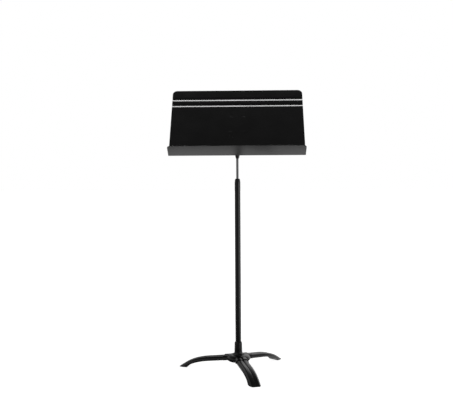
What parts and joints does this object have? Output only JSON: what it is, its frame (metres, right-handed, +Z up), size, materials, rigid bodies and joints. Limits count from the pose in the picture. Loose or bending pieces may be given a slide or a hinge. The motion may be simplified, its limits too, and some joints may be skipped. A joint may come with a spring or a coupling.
{
  "type": "music stand",
  "caption": "Free-standing orchestra music stand: a bent sheet desk with a shelf on a tilt neck, a sliding and turning rod, and a three-legged base.",
  "frame": {"origin": "bottom centre of the whole stand's bounding box, on the floor", "axes": "+Z up along the tube; -Y is the side the player stands on, so the desk faces -Y; +X is the player's right hand as they face the desk"},
  "size_m": [0.508, 0.4148, 1.0911],
  "materials": {
    "desk_coat": "aluminium sheet under a fine textured powder coat, near black",
    "frame_coat": "smooth satin powder coat, black",
    "plated_steel": "bright nickel plate",
    "zinc_steel": "zinc plated",
    "spring_steel": "oiled spring steel",
    "nylon": "natural nylon",
    "rubber": "matt black rubber"
  },
  "bodies": {
    "base": {"outer_tube": "frame_coat", "tube_insert": "zinc_steel", "clutch_washer": "nylon", "clutch_housing": "zinc_steel", "clutch_fingers": "nylon", "clutch_rings": "spring_steel", "clutch_cap": "frame_coat", "hub_shell": "frame_coat", "hub_collar": "frame_coat", "hub_plate": "frame_coat", "base_bolt": "zinc_steel", "base_washer": "zinc_steel", "base_lock_washer": "spring_steel", "leg_front": "frame_coat", "leg_right": "frame_coat", "leg_left": "frame_coat", "foot_pad_front": "rubber", "foot_pad_right": "rubber", "foot_pad_left": "rubber"},
    "glide": {"rod_guide": "nylon"},
    "mast": {"inner_rod": "plated_steel", "rod_end_washer": "zinc_steel", "rod_end_screw": "zinc_steel", "neck": "frame_coat", "neck_pin": "spring_steel"},
    "desk": {"desk_panel": "desk_coat", "desk_rivets": "desk_coat", "desk_bracket": "frame_coat", "pivot_bolt": "zinc_steel", "lock_nut": "zinc_steel", "spring_washers": "spring_steel", "pivot_washers": "zinc_steel", "friction_washers": "nylon"}
  },
  "joints": [
    {"name": "height", "type": "slide", "parent": "base", "child": "glide", "axis": [0, 0, 1], "range_m": [-0.076, 0.389]},
    {"name": "swivel", "type": "hinge", "parent": "glide", "child": "mast", "pos_m": [0, 0.02514, 0.2717], "axis": [0, 0, 1], "continuous": true},
    {"name": "tilt", "type": "hinge", "parent": "mast", "child": "desk", "pos_m": [0, 0.02514, 0.92952], "axis": [-1, 0, 0], "range_deg": [-35, 55]}
  ]
}
